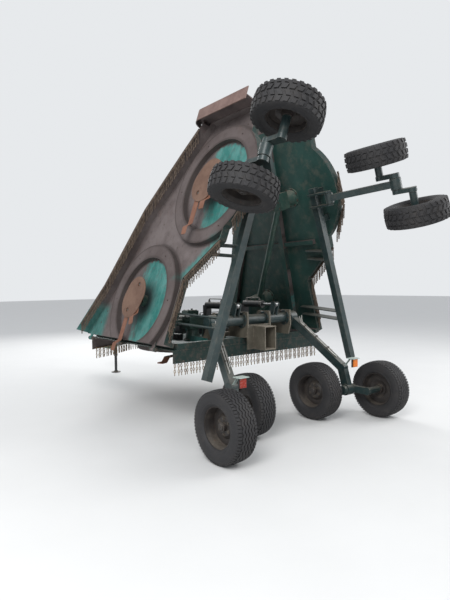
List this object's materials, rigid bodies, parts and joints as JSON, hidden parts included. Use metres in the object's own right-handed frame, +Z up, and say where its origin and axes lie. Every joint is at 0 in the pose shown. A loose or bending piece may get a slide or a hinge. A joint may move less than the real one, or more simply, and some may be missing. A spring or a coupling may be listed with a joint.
{
  "type": "towed folding-wing rotary cutter",
  "caption": "Towed rotary cutter with a centre deck and two hinged wing decks folded up, walking-beam wheels, swinging blades, drawbar and jack.",
  "frame": {"origin": "on the ground, at the middle of the parked machine's footprint", "axes": "+X to the machine's right, +Y the way it travels, towards the hitch, +Z up"},
  "size_m": [3.2358, 7.3634, 4.1351],
  "materials": {
    "tyre": "matt, dusty black rubber",
    "rim_paint": "dark dusty rim paint",
    "lamp_red": "moulded red lens",
    "lamp_amber": "moulded amber lens",
    "chain_steel": "brown, lightly rusted chain",
    "blade_steel": "steel with an even coat of dusty orange rust",
    "rod_chrome": "polished rod",
    "guard_plastic": "black moulded guard",
    "gearbox_cast": "painted casting, dusty",
    "bare_steel": "bare machined steel",
    "dark_paint": "satin black paint",
    "deck_paint": "dusty green paint on plate, caked with dry earth underneath"
  },
  "bodies": {
    "deck": {"centre_deck": "deck_paint", "rear_frame": "deck_paint", "centre_gearboxes": "gearbox_cast", "centre_chains": "chain_steel", "drawbar": "deck_paint", "hitch_eye": "bare_steel", "pto_shaft": "guard_plastic", "parking_jack": "dark_paint", "fold_cylinders": "dark_paint", "lift_cylinders": "dark_paint"},
    "lift_axle": {"rockshaft": "deck_paint", "trailing_arms": "deck_paint", "lamp_brackets": "deck_paint", "tail_lamp_left": "lamp_red", "tail_lamp_right": "lamp_amber"},
    "lift_rods": {"lift_rods": "rod_chrome"},
    "rotor_centre_rear": {"rotor_centre_rear": "blade_steel"},
    "rotor_centre_front": {"rotor_centre_front": "blade_steel"},
    "ground_beam_left": {"walking_beam_left": "deck_paint"},
    "wheel_outer_left": {"tyre_outer_left": "tyre", "rim_outer_left": "rim_paint"},
    "wheel_inner_left": {"tyre_inner_left": "tyre", "rim_inner_left": "rim_paint"},
    "wing_left": {"wing_deck_left": "deck_paint", "wing_skid_left": "deck_paint", "wing_gearboxes_left": "gearbox_cast", "wing_beam_left": "deck_paint", "wing_chains_left": "chain_steel"},
    "fold_slide_left": {"fold_rod_left": "rod_chrome", "cross_shaft_left": "bare_steel"},
    "wing_arm_left": {"wing_arm_left": "deck_paint"},
    "wing_wheel_beam_left": {"wing_walking_beam_left": "deck_paint"},
    "wing_wheel_outer_left": {"wing_tyre_outer_left": "tyre", "wing_rim_outer_left": "rim_paint"},
    "wing_wheel_inner_left": {"wing_tyre_inner_left": "tyre", "wing_rim_inner_left": "rim_paint"},
    "rotor_inner_left": {"rotor_inner_left": "blade_steel"},
    "rotor_outer_left": {"rotor_outer_left": "blade_steel"},
    "ground_beam_right": {"walking_beam_right": "deck_paint"},
    "wheel_outer_right": {"tyre_outer_right": "tyre", "rim_outer_right": "rim_paint"},
    "wheel_inner_right": {"tyre_inner_right": "tyre", "rim_inner_right": "rim_paint"},
    "wing_right": {"wing_deck_right": "deck_paint", "wing_skid_right": "deck_paint", "wing_gearboxes_right": "gearbox_cast", "wing_beam_right": "deck_paint", "wing_chains_right": "chain_steel"},
    "fold_slide_right": {"fold_rod_right": "rod_chrome", "cross_shaft_right": "bare_steel"},
    "wing_arm_right": {"wing_arm_right": "deck_paint"},
    "wing_wheel_beam_right": {"wing_walking_beam_right": "deck_paint"},
    "wing_wheel_outer_right": {"wing_tyre_outer_right": "tyre", "wing_rim_outer_right": "rim_paint"},
    "wing_wheel_inner_right": {"wing_tyre_inner_right": "tyre", "wing_rim_inner_right": "rim_paint"},
    "rotor_inner_right": {"rotor_inner_right": "blade_steel"},
    "rotor_outer_right": {"rotor_outer_right": "blade_steel"}
  },
  "joints": [
    {"name": "main_lift", "type": "hinge", "parent": "deck", "child": "lift_axle", "pos_m": [0.0354, -1.4203, 1.35], "axis": [-1, 0, 0], "range_deg": [0, 34]},
    {"name": "lift_rods", "type": "slide", "parent": "deck", "child": "lift_rods", "axis": [0, 1, 0], "range_m": [0, 0.117]},
    {"name": "centre_rear_spin", "type": "hinge", "parent": "deck", "child": "rotor_centre_rear", "pos_m": [-0.4146, -0.6203, 0.95], "axis": [0, 0, 1], "continuous": true},
    {"name": "centre_front_spin", "type": "hinge", "parent": "deck", "child": "rotor_centre_front", "pos_m": [0.4854, 0.7397, 0.95], "axis": [0, 0, 1], "continuous": true},
    {"name": "ground_beam_left", "type": "hinge", "parent": "lift_axle", "child": "ground_beam_left", "pos_m": [-0.9556, -2.2258, 0.38], "axis": [1, 0, 0], "range_deg": [-16, 50]},
    {"name": "wheel_outer_left", "type": "hinge", "parent": "ground_beam_left", "child": "wheel_outer_left", "pos_m": [-1.3366, -2.4803, 0.38], "axis": [1, 0, 0], "continuous": true},
    {"name": "wheel_inner_left", "type": "hinge", "parent": "ground_beam_left", "child": "wheel_inner_left", "pos_m": [-0.5746, -1.9713, 0.38], "axis": [1, 0, 0], "continuous": true},
    {"name": "wing_fold_left", "type": "hinge", "parent": "deck", "child": "wing_left", "pos_m": [-1.3346, -0.1503, 1.03], "axis": [0, -1, 0], "range_deg": [0, 121]},
    {"name": "fold_slide_left", "type": "slide", "parent": "deck", "child": "fold_slide_left", "axis": [-1, 0, 0], "range_m": [0, 0.76]},
    {"name": "wing_arm_left", "type": "hinge", "parent": "wing_left", "child": "wing_arm_left", "pos_m": [-0.46537, -2.3203, 2.9094], "axis": [-0.3256, 0, -0.9455], "range_deg": [-43, 0]},
    {"name": "wing_wheel_beam_left", "type": "hinge", "parent": "wing_arm_left", "child": "wing_wheel_beam_left", "pos_m": [-1.08261, -2.84893, 3.12193], "axis": [-0.3256, 0, -0.9455], "range_deg": [-12, 55]},
    {"name": "wing_wheel_outer_left", "type": "hinge", "parent": "wing_wheel_beam_left", "child": "wing_wheel_outer_left", "pos_m": [-0.96345, -3.03893, 3.46799], "axis": [0.3256, 0, 0.9455], "continuous": true},
    {"name": "wing_wheel_inner_left", "type": "hinge", "parent": "wing_wheel_beam_left", "child": "wing_wheel_inner_left", "pos_m": [-1.20177, -2.65893, 2.77587], "axis": [0.3256, 0, 0.9455], "continuous": true},
    {"name": "rotor_inner_left_spin", "type": "hinge", "parent": "wing_left", "child": "rotor_inner_left", "pos_m": [-1.20839, -0.5203, 1.64227], "axis": [0.9455, 0, -0.3256], "continuous": true},
    {"name": "rotor_outer_left_spin", "type": "hinge", "parent": "wing_left", "child": "rotor_outer_left", "pos_m": [-0.71353, -1.5103, 3.07946], "axis": [0.9455, 0, -0.3256], "continuous": true},
    {"name": "ground_beam_right", "type": "hinge", "parent": "lift_axle", "child": "ground_beam_right", "pos_m": [1.0264, -2.2258, 0.38], "axis": [1, 0, 0], "range_deg": [-16, 50]},
    {"name": "wheel_outer_right", "type": "hinge", "parent": "ground_beam_right", "child": "wheel_outer_right", "pos_m": [1.4074, -2.4803, 0.38], "axis": [1, 0, 0], "continuous": true},
    {"name": "wheel_inner_right", "type": "hinge", "parent": "ground_beam_right", "child": "wheel_inner_right", "pos_m": [0.6454, -1.9713, 0.38], "axis": [1, 0, 0], "continuous": true},
    {"name": "wing_fold_right", "type": "hinge", "parent": "deck", "child": "wing_right", "pos_m": [1.4054, -0.1503, 1.03], "axis": [0, 1, 0], "range_deg": [0, 121]},
    {"name": "fold_slide_right", "type": "slide", "parent": "deck", "child": "fold_slide_right", "axis": [1, 0, 0], "range_m": [0, 0.76]},
    {"name": "wing_arm_right", "type": "hinge", "parent": "wing_right", "child": "wing_arm_right", "pos_m": [0.53617, -2.3203, 2.9094], "axis": [-0.3256, 0, 0.9455], "range_deg": [-7, 36]},
    {"name": "wing_wheel_beam_right", "type": "hinge", "parent": "wing_arm_right", "child": "wing_wheel_beam_right", "pos_m": [0.74173, -3.13168, 2.98018], "axis": [-0.3256, 0, 0.9455], "range_deg": [-48, 19]},
    {"name": "wing_wheel_outer_right", "type": "hinge", "parent": "wing_wheel_beam_right", "child": "wing_wheel_outer_right", "pos_m": [0.62258, -2.94168, 3.32624], "axis": [-0.3256, 0, 0.9455], "continuous": true},
    {"name": "wing_wheel_inner_right", "type": "hinge", "parent": "wing_wheel_beam_right", "child": "wing_wheel_inner_right", "pos_m": [0.86089, -3.32168, 2.63412], "axis": [-0.3256, 0, 0.9455], "continuous": true},
    {"name": "rotor_inner_right_spin", "type": "hinge", "parent": "wing_right", "child": "rotor_inner_right", "pos_m": [1.27919, -0.5203, 1.64227], "axis": [-0.9455, 0, -0.3256], "continuous": true},
    {"name": "rotor_outer_right_spin", "type": "hinge", "parent": "wing_right", "child": "rotor_outer_right", "pos_m": [0.78433, -1.5103, 3.07946], "axis": [-0.9455, 0, -0.3256], "continuous": true}
  ],
  "couplings": [
    {"joint": "lift_rods", "follows": "main_lift", "m_per_rad": 0.19708},
    {"joint": "fold_slide_left", "follows": "wing_fold_left", "m_per_rad": 0.35983},
    {"joint": "fold_slide_right", "follows": "wing_fold_right", "m_per_rad": 0.35983}
  ]
}
